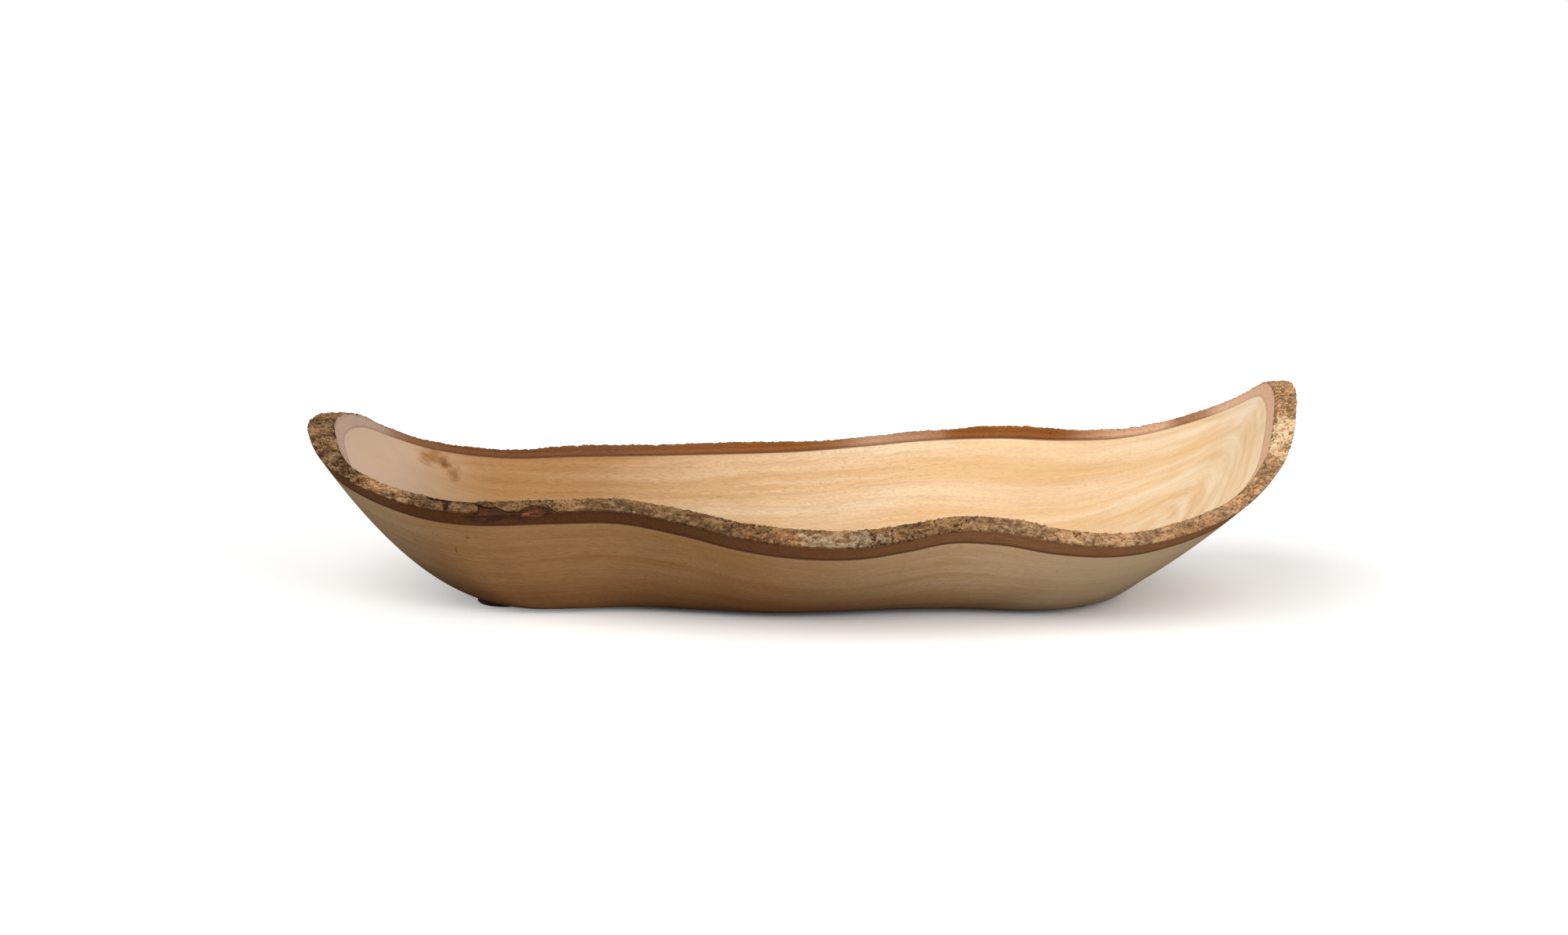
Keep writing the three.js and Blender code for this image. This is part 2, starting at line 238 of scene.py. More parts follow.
def smooth_loop(points, t):
    """Places t, from 0 to 1, on the closed centripetal curve through the points."""
    count = len(points)
    place = np.mod(t, 1.0) * count
    index = np.floor(place).astype(int)
    w = (place - index)[:, None]
    p0, p1, p2, p3 = (points[(index + k) % count] for k in (-1, 0, 1, 2))
    d0, d1, d2 = (np.sum((b - a) ** 2, axis=1, keepdims=True) ** 0.25
                  for a, b in ((p0, p1), (p1, p2), (p2, p3)))
    m1 = ((p1 - p0) / d0 - (p2 - p0) / (d0 + d1) + (p2 - p1) / d1) * d1
    m2 = ((p2 - p1) / d1 - (p3 - p1) / (d1 + d2) + (p3 - p2) / d2) * d1
    return (p1 + m1 * w + (3 * (p2 - p1) - 2 * m1 - m2) * w ** 2
            + (2 * (p1 - p2) + m1 + m2) * w ** 3)


# Steps in which the length of a plan's outline is measured, and halvings of the range in
# which a wall meets a depth
OUTLINE_STEPS, HALVINGS = 1200, 40


class Outline:
    """A plan that just fills its length and width, read by the share of the way round"""

    def __init__(self, plan, length, width):
        raw = smooth_loop(plan, np.linspace(0, 1, OUTLINE_STEPS + 1))
        low, high = raw.min(0), raw.max(0)
        self.points = (plan - (low + high) / 2) * (length, width) / (high - low)
        self.t = np.linspace(0, 1, 2 * OUTLINE_STEPS + 1)
        steps = np.diff(smooth_loop(self.points, self.t), axis=0)
        self.run = np.concatenate([[0], np.cumsum(np.linalg.norm(steps, axis=1))])
        self.length = self.run[-1]

    def at(self, shares):
        """Plan points and plan directions at these shares of the way round."""
        t = np.interp(np.mod(shares, 1.0) * self.length, self.run, self.t)
        ahead = smooth_loop(self.points, t + 1e-4) - smooth_loop(self.points, t - 1e-4)
        return smooth_loop(self.points, t), ahead / np.linalg.norm(ahead, axis=1, keepdims=True)


class Walls:
    """The bowl's wall at a list of places along the rim"""

    def __init__(self, shares):
        self.sizes = s = bpy.context.scene.bowl_sizes
        b = bpy.context.scene.bark_look
        foot_height = bpy.context.scene.pad_look.height
        self.shares = np.asarray(shares, float)
        plan, self.along = Outline(RIM_PLAN, s.length, s.width).at(self.shares)
        inward = np.stack([-self.along[:, 1], self.along[:, 0]], 1)
        self.endness = inward[:, 0] ** 2
        rightness = plan[:, 0] / s.length + 0.5
        thin = s.thinning * np.exp(-((plan[:, 0] - s.thin_place) / s.thin_reach) ** 2)
        thick = lerp(s.side_wall, lerp(s.left_wall, s.right_wall, rightness), self.endness)
        inner = plan + inward * (thick - thin * np.maximum(0, inward[:, 1]))[:, None]
        foot = Outline(FOOT_PLAN, s.foot_length, s.foot_width).at(self.shares)[0]
        self.outer = self.set_depth(self.raised(plan, 0), 0)
        self.inner = self.set_depth(self.raised(inner, 0), 0)
        self.foot = self.raised(foot + (s.foot_right, s.foot_back), foot_height)
        self.floor = self.raised(self.turned(inner * s.floor_share),
                                 foot_height + s.floor_thickness)
        end_swell = lerp(s.left_swell, s.right_swell, rightness)
        self.swell = lerp(s.side_swell, end_swell, (plan[:, 0] * 2 / s.length) ** 2)
        farness = plan[:, 1] / s.width + 0.5
        self.wood_depth = b.rough + lerp(
            lerp(b.near_inner, b.far_inner, farness),
            lerp(b.left_inner, b.right_inner, rightness), self.endness)

    def turned(self, plan):
        c, s = math.cos(self.sizes.floor_turn), math.sin(self.sizes.floor_turn)
        return plan @ np.array([(c, s), (-s, c)]) + (0, self.sizes.floor_back)

    @staticmethod
    def raised(plan, height):
        return np.concatenate([plan, np.full((len(plan), 1), height)], axis=1)

    def ridge(self, x):
        s = self.sizes
        return lerp(s.left_height, s.right_height, x / s.length + 0.5)

    def set_depth(self, p, depth):
        """Lifts points to this depth under the bark, square to the log."""
        r = self.sizes.log_radius
        p = p.copy()
        p[..., 2] = (self.ridge(p[..., 0]) - r
                     + np.sqrt((r - depth) ** 2 - (p[..., 1] - self.sizes.ridge_back) ** 2))
        return p

    def depth_of(self, p):
        """How deep points lie under the bark, square to the log."""
        r = self.sizes.log_radius
        return r - np.hypot(p[..., 1] - self.sizes.ridge_back,
                            p[..., 2] - (self.ridge(p[..., 0]) - r))

    @staticmethod
    def rising(low, high, power, t):
        p = lerp(low, high, t[:, None])
        p[:, 2] = lerp(low[:, 2], high[:, 2], t ** power)
        return p

    def outside(self, t):
        return self.rising(self.foot, self.outer, self.swell, t)

    def inside(self, t):
        return self.rising(self.floor, self.inner, self.sizes.dish, t)

    def climb(self, surface, depth):
        """How far up a wall this depth under the bark is met."""
        low = np.full(len(self.shares), 0.3)
        high = np.full(len(self.shares), 1.1)
        for _ in range(HALVINGS):
            middle = (low + high) / 2
            deeper = self.depth_of(surface(middle)) > depth
            low, high = np.where(deeper, middle, low), np.where(deeper, high, middle)
        return low

    def edges(self, depth):
        """The outer and inner edge of the rim at one depth."""
        return (self.outside(self.climb(self.outside, depth)),
                self.inside(self.climb(self.inside, depth)))

    def across(self, depth, shares):
        """Points across the rim at one depth: share 0 is outside, 1 is inside."""
        outside, inside = self.edges(depth)
        shares = np.broadcast_to(shares, (len(outside), np.shape(shares)[-1]))
        p = lerp(outside[:, None], inside[:, None], shares[..., None])
        level = np.broadcast_to(np.reshape(depth, (-1, 1)), shares.shape)
        return self.set_depth(p, level)


def new_object(name, data):
    made = bpy.data.objects.new(name, data)
    bpy.context.scene.collection.objects.link(made)
    return made


def build_mesh(name, points, faces, values=None, sharp=50):
    """A smooth-shaded piece from points and faces, with its named values per point."""
    mesh = bpy.data.meshes.new(name)
    mesh.from_pydata(np.asarray(points, float).tolist(), [], faces)
    for key, numbers in (values or {}).items():
        mesh.attributes.new(key, 'FLOAT', 'POINT').data.foreach_set(
            "value", np.ravel(numbers).astype(np.float32))
    mesh.shade_smooth()
    mesh.set_sharp_from_angle(angle=math.radians(sharp))
    mesh.validate()
    return new_object(name, mesh)


def circle(radius, count, height=0.0):
    angles = np.linspace(0, 2 * math.pi, count, endpoint=False)
    return np.stack([np.cos(angles) * radius, np.sin(angles) * radius,
                     np.full(count, height)], 1)


def ring_faces(rows, count, around=False):
    """Faces of rows that are rings of this count of points: the last ring is joined to
    the first, or else both are closed with a face."""
    faces = []
    for row in range(rows if around else rows - 1):
        a, b = row * count, (row + 1) % rows * count
        for j in range(count):
            k = (j + 1) % count
            faces.append((a + j, a + k, b + k, b + j))
    if not around:
        faces.append(tuple(range(count - 1, -1, -1)))
        faces.append(tuple(range((rows - 1) * count, rows * count)))
    return faces


def finish_piece(piece, material, slot, *nodes):
    """Gives a piece its finish, and sets it on the part in place of its CAD solids."""
    if material:
        piece.data.materials.append(material)
    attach(piece, "root")
    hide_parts(*nodes)


def each_noise(points, scale, octaves=3, seed=0.0):
    """Smooth noise, about -1 to 1, at points given in metres; scale is in metres."""
    shift = Vector((seed, seed * 1.7, -seed))
    return np.array([noise.fractal(Vector(p) + shift, 0.9, 2.0, octaves)
                     for p in (np.reshape(points, (-1, 3)) / scale).tolist()]
                    ).reshape(np.shape(points)[:-1])


def each_cell(points, scale, seed=0.0):
    """How far points lie from the borders of random cells, 0 on a border, and a random
    number of the cell that each lies in."""
    shift = Vector((seed, seed * 1.7, -seed))
    gaps, tones = [], []
    for p in (np.reshape(points, (-1, 3)) / scale).tolist():
        near, middles = noise.voronoi(Vector(p) + shift)
        gaps.append(near[1] - near[0])
        tones.append(noise.cell(middles[0] * 17.0))
    shape = np.shape(points)[:-1]
    return np.array(gaps).reshape(shape), np.array(tones).reshape(shape)


def bump(x, low, high, ease):
    """1 between low and high, falling to 0 within the given distance outside them."""
    return np.clip((x - low) / ease + 1, 0, 1) * np.clip((high - x) / ease + 1, 0, 1)


def along_x(p, table, column=1):
    """Reads a table of places along X in millimetres at points p."""
    return np.interp(p[..., 0] / MM, table[:, 0], table[:, column])


class Nodes:
    """Places nodes in one tree; all but link, place and raise_surface give output sockets"""

    def __init__(self, tree):
        self.tree = tree

    def link(self, value, socket):
        """Feeds a socket from another socket, or gives it a value of its own."""
        if isinstance(value, bpy.types.NodeSocket):
            self.tree.links.new(value, socket)
        else:
            socket.default_value = (*value, 1.0) if socket.type == 'RGBA' else value

    def place(self, kind, inputs=None, **settings):
        """Makes one node, with its settings and its inputs."""
        node = self.tree.nodes.new(kind)
        for key, value in settings.items():
            setattr(node, key, value)
        for key, value in (inputs or {}).items():
            self.link(value, node.inputs[key])
        return node

    def maths(self, operation, *values):
        return self.place('ShaderNodeMath', dict(enumerate(values)),
                          operation=operation).outputs[0]

    def times(self, value, *factors):
        for factor in factors:
            value = self.maths('MULTIPLY', value, factor)
        return value

    def times_plus(self, value, factor, more):
        return self.maths('MULTIPLY_ADD', value, factor, more)

    def span(self, value, low, high, top=1.0, base=0.0, smooth=True):
        """Value from low to high, mapped from base to top and held between them."""
        return self.place('ShaderNodeMapRange', {0: value, 1: low, 2: high, 3: base, 4: top},
                          interpolation_type='SMOOTHSTEP' if smooth else 'LINEAR').outputs[0]

    def mix(self, share, a, b, blend='MIX'):
        return self.place('ShaderNodeMix', {0: share, 6: a, 7: b}, data_type='RGBA',
                          blend_type=blend, clamp_factor=True).outputs[2]

    def layers(self, colour, *coats):
        """Lays coats over a colour in order: the share of each, its colour and its blend."""
        for share, *coat in coats:
            colour = self.mix(share, colour, *coat)
        return colour

    def vectors(self, operation, a, b):
        return self.place('ShaderNodeVectorMath', {0: a, 1: b}, operation=operation).outputs[0]

    def scaled(self, vector, factor):
        return self.place('ShaderNodeVectorMath', {0: vector, 3: factor},
                          operation='SCALE').outputs[0]

    def stretch(self, vector, x, y=1, z=1):
        return self.vectors('MULTIPLY', vector, (x, y, z))

    def length_of(self, vector):
        return self.place('ShaderNodeVectorMath', {0: vector},
                          operation='LENGTH').outputs['Value']

    def parts(self, vector):
        return self.place('ShaderNodeSeparateXYZ', {0: vector}).outputs

    def grain(self, vector, scale, detail=3.0, roughness=0.55, distortion=0.0):
        """Noise from 0 to 1."""
        return self.place('ShaderNodeTexNoise', {
            'Vector': vector, 'Scale': scale, 'Detail': detail,
            'Roughness': roughness, 'Distortion': distortion}).outputs[0]

    def swirl(self, vector, scale, detail):
        """Noise as a vector."""
        return self.place('ShaderNodeTexNoise', {
            'Vector': vector, 'Scale': scale, 'Detail': detail}).outputs['Color']

    def group(self, make, inputs):
        """A shared group, which bears its function's name and is made only once."""
        name = make.__name__
        tree = bpy.data.node_groups.get(name) or make(name)
        return self.place('ShaderNodeGroup', inputs, node_tree=tree).outputs

    def values_of(self, *names):
        """Named values that the piece's points carry."""
        return [self.place('ShaderNodeAttribute', attribute_name=name).outputs['Fac']
                for name in names]

    def raise_surface(self, shader, height, distance, strength):
        relief = self.place('ShaderNodeBump', {
            'Height': height, 'Distance': distance, 'Strength': strength})
        self.link(relief.outputs[0], shader.inputs['Normal'])


def new_tree(name, inputs, outputs, kind='ShaderNodeTree'):
    """An empty group with its named sockets: its nodes, what it is given and what it gives."""
    tree = bpy.data.node_groups.new(name, kind)
    for way, sockets in (('INPUT', inputs), ('OUTPUT', outputs)):
        for socket, holds in sockets.items():
            tree.interface.new_socket(socket, in_out=way, socket_type='NodeSocket' + holds)
    inlet, outlet = tree.nodes.new('NodeGroupInput'), tree.nodes.new('NodeGroupOutput')
    return Nodes(tree), inlet.outputs, outlet.inputs


def growth_rings(name):
    """Growth rings round the log's heart: how dark the ring is, and a place measured
    along the log, out from its heart and round it."""
    sizes = bpy.context.scene.bowl_sizes
    n, given, gives = new_tree(
        name, {"Place": 'Vector', "Ring Width": 'Float', "Wander": 'Float'},
        {"Ring": 'Float', "Round Place": 'Vector'})
    x, y, z = n.parts(given["Place"])
    slope = (sizes.right_height - sizes.left_height) / sizes.length
    heart = (sizes.left_height + sizes.right_height) / 2 - sizes.log_radius
    up = n.maths('SUBTRACT', n.maths('SUBTRACT', z, heart), n.times(x, slope))
    back = n.maths('SUBTRACT', y, sizes.ridge_back)
    radius = n.maths('SQRT', n.maths('ADD', n.times(up, up), n.times(back, back)))
    sway = n.grain(n.stretch(given["Place"], 0.35), 24.0, 2.0)
    wandered = n.times_plus(n.maths('SUBTRACT', sway, 0.5), n.times(given["Wander"], 8.0), radius)
    turns = n.maths('DIVIDE', wandered, given["Ring Width"])
    saw = n.maths('FRACT', turns)
    ring = n.times(n.span(saw, 0.25, 0.92), n.span(saw, 1.0, 0.92))
    # Every ring has a darkness of its own
    number = n.place('ShaderNodeCombineXYZ', {0: n.maths('FLOOR', turns)}).outputs[0]
    uneven = n.span(n.grain(number, 7.3, 0.0), 0.3, 0.7, base=0.25)
    n.link(n.times(ring, uneven), gives["Ring"])
    turn = n.times(n.maths('ARCTAN2', back, up), sizes.log_radius)
    round_place = n.place('ShaderNodeCombineXYZ', {0: x, 1: wandered, 2: turn}).outputs[0]
    n.link(round_place, gives["Round Place"])
    return n.tree


def wood_fibres(name):
    """Fibres along the log: streaks that follow the rings, short pores and broad tone."""
    n, given, gives = new_tree(name, {"Place": 'Vector', "Round Place": 'Vector'},
                               {"Streak": 'Float', "Pore": 'Float', "Tone": 'Float'})
    where = given["Place"]
    # The fibres wave gently, and curl in patches
    patch = n.span(n.grain(where, 21.0, 1.0), 0.42, 0.62, 0.0015, base=0.0003)
    pushes = (n.scaled(n.swirl(n.stretch(where, 0.4), 18.0, 1.0), 0.0025),
              n.scaled(n.swirl(where, 190.0, 1.0), patch))

    def pushed(start):
        for push in pushes:
            start = n.vectors('ADD', start, push)
        return start

    layered = pushed(given["Round Place"])
    n.link(n.grain(n.stretch(layered, 0.04, 1, 0.10), 640.0, 5.0, 0.7), gives["Streak"])
    n.link(n.grain(n.stretch(layered, 0.05, 1, 0.12), 100.0), gives["Tone"])
    n.link(n.grain(n.stretch(pushed(where), 0.11), 2400.0, 3.0, 0.7), gives["Pore"])
    return n.tree


def bark_flesh(name):
    """Colour of the inner bark: brown, reddish and pink stretches with darker specks."""
    look = bpy.context.scene.bark_look
    n, given, gives = new_tree(
        name, {"Place": 'Vector', "Within": 'Float', "Paleness": 'Float'},
        {"Colour": 'Color', "Speck": 'Float'})
    where, within = given["Place"], given["Within"]
    x = n.parts(where)[0]
    patch = n.grain(n.stretch(where, 0.5), 26.0, 2.0)
    line = n.grain(n.stretch(where, 0.1), 900.0, 3.0, 0.6)
    speck = n.grain(n.stretch(where, 0.6), 1500.0, 3.0, 0.65)
    lighter = n.maths('MAXIMUM', n.span(x, -0.12, 0.19), n.span(x, -0.17, -0.21, 0.4))
    blotch = n.span(n.times_plus(patch, 0.5, given["Paleness"]), 0.4, 1.05)
    n.link(speck, gives["Speck"])
    n.link(n.layers(
        n.mix(lighter, look.deep, look.brown),
        (n.times(within, n.span(x, -0.15, -0.05, 0.45, base=0.28)), look.brown),
        (n.times(within, n.span(x, -0.10, -0.02), n.span(patch, 0.2, 0.5, base=0.6)), look.red),
        (n.times(within, blotch), n.mix(n.span(x, -0.1, 0.1), look.pink, look.peach)),
        (n.span(line, 0.5, 0.7, 0.25), look.dark),
        (n.span(speck, 0.5, 0.7, 0.22), look.dark),
        (n.span(speck, 0.5, 0.3, 0.05), look.crust)), gives["Colour"])
    return n.tree


def new_material(name, roughness, gloss=0.2):
    """A material, its nodes, its shader and the place on the piece."""
    material = bpy.data.materials.new(name)
    material.use_nodes = True
    n = Nodes(material.node_tree)
    shader = n.tree.nodes["Principled BSDF"]
    shader.inputs["Roughness"].default_value = roughness
    shader.inputs["Specular IOR Level"].default_value = gloss
    return material, n, shader, n.place('ShaderNodeTexCoord').outputs['Object']


# Stains and small marks of the wood: place, reach along each axis and strength
KNOT_SPOTS = [((-0.190, 0.070, 0.052), (0.013, 0.012, 0.0062), 0.9),
              ((-0.1835, 0.071, 0.0495), (0.0055, 0.006, 0.0032), 0.55),
              ((-0.1803, 0.070, 0.0478), (0.0042, 0.006, 0.0019), 0.9),
              ((-0.1775, 0.068, 0.0435), (0.0045, 0.006, 0.0072), 0.75),
              ((-0.157, -0.067, 0.042), (0.0016, 0.003, 0.0009), 0.9),
              ((-0.163, -0.063, 0.035), (0.0008, 0.003, 0.0022), 0.8)]


def oiled_wood():
    """Pale wood with growth rings, streaks and pores, darker in a line under the bark."""
    look = bpy.context.scene.wood_look
    material, n, shader, where = new_material("oiled_wood", 0.5, 0.3)
    rings = n.group(growth_rings, {
        "Place": where, "Ring Width": look.ring_width, "Wander": 0.0011})
    fibres = n.group(wood_fibres, {"Place": where, "Round Place": rings["Round Place"]})
    streak, pore = fibres["Streak"], fibres["Pore"]
    under, within = n.values_of("under_bark", "within")
    outside = n.maths('SUBTRACT', 1.0, within)
    x, _, z = n.parts(where)
    ends = n.span(n.maths('ABSOLUTE', x), 0.16, 0.215)
    ends_within = n.times(ends, within)
    # Outside, the tone is more even, with pale flecks along the grain
    tone = n.span(fibres["Tone"], 0.36, 0.64)
    tone = n.times_plus(n.maths('SUBTRACT', 0.6, tone), n.times(outside, 0.55), tone)
    cloud = n.grain(n.stretch(where, 0.35), 75.0, 3.0, 0.5)
    lines = n.maths('MAXIMUM', n.span(streak, 0.44, 0.7, 0.3), n.span(pore, 0.46, 0.68, 0.42))
    calm = n.times(n.times_plus(ends_within, -0.55, 1.0), n.span(x, 0.06, 0.16, 0.8, base=1.0))
    # Browner wood outside and towards the left end, with wandering borders, partly painted shade:
    # the hollow left of the middle and the outside are painted darker where less light falls
    drift = n.maths('SUBTRACT', n.grain(n.stretch(where, 0.3), 16.0), 0.5)
    bent_x = n.times_plus(drift, 0.16, x)
    # Painted shade in the hollow left of the middle, under the raised left end, together with a
    # browner wood there
    older = n.maths('ADD', n.span(bent_x, 0.16, -0.09, 0.62, smooth=False),
                    n.span(bent_x, 0.01, -0.13, 0.36))
    warm = n.times(n.span(x, 0.02, 0.12, 0.3), n.span(x, 0.19, 0.12))
    # Outside, the wood is painted browner and darker, strongest left of the middle, weaker at the
    # left end and fading towards the right: partly a browner outer wood, partly painted shade on
    # the wall, which faces down
    browner_and_shaded_outside = n.times(outside, n.span(x, 0.12, -0.04, 0.97), n.span(x, -0.215, -0.16, base=0.35))
    # Painted shade towards the foot on the outside, fading out near the right end
    painted_foot_shade = n.times(n.span(x, 0.16, 0.05), n.span(z, 0.03, 0.004, 0.65))
    # Young wood in the hollow: broad at the left end, thin at the right
    left = n.span(n.times_plus(drift, 0.05, x), -0.155, -0.212)
    young = n.span(under, 0.011, 0.002, 0.75)
    blush = n.maths('MAXIMUM', n.times(left, 0.8),
                    n.times(young, n.times(ends, n.span(x, 0.2, -0.1, base=0.08))))
    colour = n.layers(
        n.mix(tone, look.pale, look.honey),
        (n.span(streak, 0.45, 0.3, 0.4), look.pale),
        (n.span(cloud, 0.48, 0.68, 0.1), look.streak),
        (n.times(lines, calm), look.streak),
        (n.times(rings["Ring"], 0.12), look.streak),
        (n.times(within, older), look.tawny, 'MULTIPLY'),
        (n.times(within, warm), look.honey),
        # Painted light: the outside towards the right end is painted paler
        (n.times(outside, n.span(x, 0.09, 0.16, 0.4)), look.pale),
        (n.times(outside, n.span(x, -0.02, 0.1, 0.34)), look.streak),
        (browner_and_shaded_outside, look.brown, 'MULTIPLY'),
        (n.times(outside, painted_foot_shade), look.brown, 'MULTIPLY'),
        (n.times(blush, within), look.blush))
    crumbs = n.grain(n.stretch(where, 0.5), 300.0, 3.0, 0.6)
    for spot, size, share in KNOT_SPOTS:
        away = n.stretch(n.vectors('SUBTRACT', where, spot), *(1 / reach for reach in size))
        ragged = n.times_plus(crumbs, 1.3, n.length_of(away))
        colour = n.mix(n.span(ragged, 1.75, 0.7, share), colour, look.stain, 'MULTIPLY')
    edge = n.times(n.span(under, 0.0007, 0.0002), n.times_plus(ends_within, -0.62, 0.85))
    n.link(n.mix(edge, colour, look.line), shader.inputs['Base Color'])
    n.link(n.span(pore, 0.4, 0.7, 0.6, base=0.46), shader.inputs['Roughness'])
    height = n.maths('ADD', n.times(pore, -0.5), n.times(streak, -0.5))
    n.raise_surface(shader, height, 0.0002, 0.25)
    return material


def smooth_bark():
    """Inner bark: brown outside, reddish and pink in the hollow, dark where it is torn."""
    look = bpy.context.scene.bark_look
    material, n, shader, where = new_material("smooth_bark", 0.7, 0.12)
    within, torn, orange, shadow, pale, under = n.values_of(
        "within", "torn", "orange", "shadow", "paleness", "under_bark")
    flesh = n.group(bark_flesh, {"Place": where, "Within": within, "Paleness": pale})
    strand = n.grain(n.stretch(where, 0.16), 1100.0, 3.0, 0.6)
    broad = n.grain(n.stretch(where, 0.4), 260.0, 2.0)
    lit = n.times_plus(orange, 0.5, n.times(broad, 0.75))
    fibre = n.layers(
        look.torn,
        (n.times(n.span(strand, 0.42, 0.68), n.span(lit, 0.45, 0.95, 0.6)), look.fibre),
        (n.span(flesh["Speck"], 0.5, 0.36, 0.5), look.dark),
        (n.span(shadow, 0.15, 0.6, 0.9), look.torn, 'MULTIPLY'))
    line = n.times(n.span(under, -0.0012, -0.0002),
                   n.times_plus(n.times(pale, within), -0.5, 0.65))
    colour = n.layers(flesh["Colour"], (torn, fibre), (line, bpy.context.scene.wood_look.line))
    n.link(colour, shader.inputs['Base Color'])
    height = n.times_plus(torn, n.times(strand, 2.0), flesh["Speck"])
    n.raise_surface(shader, height, 0.0003, 0.6)
    return material


def rough_bark(name, paleness):
    """Weathered bark with crusts and fissures, highlights painted on its flakes and crumbs,
    patches of lichen, and brown cut edges.
    """
    look = bpy.context.scene.bark_look
    material, n, shader, where = new_material(name, 0.95, 0.05)
    height, cut, lichen, rust, pale, within, scale, seam, tone_and_light = n.values_of(
        "relief", "cut", "lichen", "rust", "paleness", "within", "scale_tone", "seam", "tone_and_light")
    flesh = n.group(bark_flesh, {"Place": where, "Within": within, "Paleness": pale})
    x = n.parts(where)[0]
    # The fissures are less deep towards the right end
    dark = n.mix(n.span(x, 0.04, 0.2, 0.4), look.dark, look.grey)
    along = n.stretch(where, 0.6)
    broad = n.grain(along, 130.0, 4.0, 0.65)
    mottle = n.grain(along, 430.0, 4.0, 0.68)
    crumb = n.grain(along, 1000.0, 5.0, 0.72)
    band = n.grain(n.stretch(where, 0.3), 200.0, 3.0, 0.6)
    patch = n.times_plus(mottle, 0.8, n.times(lichen, 0.5))
    # Fine dark cracks that wander between the flakes
    bent = n.vectors('ADD', along, n.scaled(n.swirl(where, 420.0, 3.0), 0.0034))
    cracks = n.place('ShaderNodeTexVoronoi', {'Vector': bent, 'Scale': 300.0},
                     feature='DISTANCE_TO_EDGE').outputs['Distance']
    cracked = n.times(n.span(cracks, 0.09, 0.02, 0.5 - 0.25 * paleness),
                      n.span(mottle, 0.56, 0.44))
    # Long dark furrows at the left tip
    furrow = n.grain(n.stretch(where, 0.34), 400.0, 4.0, 0.7, 1.2)
    furrowed = n.times(n.span(x, -0.178, -0.212), n.span(furrow, 0.46, 0.38, 0.6))
    colour = n.layers(
        look.tan,
        (n.span(broad, 0.4, 0.6), look.grey),
        # Flakes of high tone take the crust colour: painted highlights on their edges
        (n.span(scale, 0.5, 1.0, 0.3), look.crust),
        (n.span(scale, 0.5, 0.0, 0.25), dark),
        (n.span(band, 0.36, 0.5, paleness), look.beige),
        (n.span(x, 0.04, 0.12, 0.12), look.beige),
        (n.times(rust, n.span(mottle, 0.4, 0.56)), look.rust),
        (n.times(n.span(patch, 0.72, 0.88), n.span(lichen, 0.05, 0.4)), look.lichen),
        (cracked, dark),
        (furrowed, dark),
        (n.span(mottle, 0.49, 0.35, 0.42 - 0.2 * paleness), dark),
        # Painted highlights: high spots of the mottle take the crust colour
        (n.span(mottle, 0.53, 0.66, 0.6), look.crust),
        (n.span(crumb, 0.48, 0.36, 0.6 - 0.3 * paleness), dark),
        # Painted highlights: high spots of the crumbs take the crust colour
        (n.span(crumb, 0.53, 0.66, 0.5), look.crust),
        (n.span(seam, 0.25, 0.9, 0.35), dark),
        # Painted shade: low places of the relief, such as chips, splits, fissures and the torn
        # plates' broken sides, are painted dark
        (n.span(height, 0.0002, -0.0005, 0.85), dark))
    # The bark's colour is scaled by its brightness along X, which is partly painted light and
    # shade
    colour = n.mix(cut, n.scaled(colour, tone_and_light), flesh["Colour"])
    n.link(colour, shader.inputs['Base Color'])
    fine = n.grain(where, 2600.0, 3.0, 0.6)
    n.raise_surface(shader, n.times_plus(fine, 0.4, crumb), 0.0006, 0.8)
    return material


def wool_felt():
    """Dense wool felt with crossing fibres."""
    look = bpy.context.scene.pad_look
    material, n, shader, where = new_material("wool_felt", 0.98, 0.05)
    hair = n.grain(n.stretch(where, 1, 0.25), 5200.0, 3.0, 0.7, 0.6)
    cross = n.grain(n.stretch(where, 0.25), 4800.0, 3.0, 0.7, 0.6)
    both = n.maths('MAXIMUM', hair, cross)
    darker = tuple(c * 0.55 for c in look.felt)
    n.link(n.mix(n.span(both, 0.4, 0.7), darker, look.felt), shader.inputs['Base Color'])
    shader.inputs['Sheen Weight'].default_value = 0.12
    n.raise_surface(shader, both, 0.0003, 0.8)
    return material


# Rings of points up the outside of the wood and down the hollow, and the smaller rings
# inside the foot and the floor as shares of their size
OUTSIDE_RINGS, HOLLOW_RINGS = 40, 46
FOOT_RINGS, FLOOR_RINGS = (0.4, 0.75, 0.97), (0.9, 0.6, 0.3)


class BOWL_OT_carve_wood(bpy.types.Operator):
    """Carves the wood: foot, outside, the line under the bark, and the hollow"""
    bl_idname = "bowl.carve_wood"
    bl_label = "Carve the wood"

    def execute(self, context):
        places = context.scene.bowl_sizes.places
        walls = Walls(np.arange(places) / places)
        outside_top = walls.climb(walls.outside, walls.wood_depth)
        inside_top = walls.climb(walls.inside, walls.wood_depth)
        rings = [lerp(walls.foot.mean(0), walls.foot, share) for share in FOOT_RINGS]
        rings += [walls.outside(outside_top * step) for step in np.linspace(0, 1, OUTSIDE_RINGS)]
        before = len(rings)
        rings += [walls.across(walls.wood_depth, [0.5])[:, 0]]
        rings += [walls.inside(inside_top * step) for step in np.linspace(1, 0, HOLLOW_RINGS)]
        rings += [lerp(walls.floor.mean(0), walls.floor, share) for share in FLOOR_RINGS]
        count = len(walls.shares)
        under = [walls.depth_of(ring) - walls.wood_depth for ring in rings]
        within = [0.0] * before + [0.5] + [1.0] * (len(rings) - before - 1)
        piece = build_mesh("carved_wood", np.concatenate(rings), ring_faces(len(rings), count),
                           {"under_bark": under, "within": np.repeat(within, count)}, 35)
        finish_piece(piece, oiled_wood(), "wood", "bowl_body")
        return {'FINISHED'}


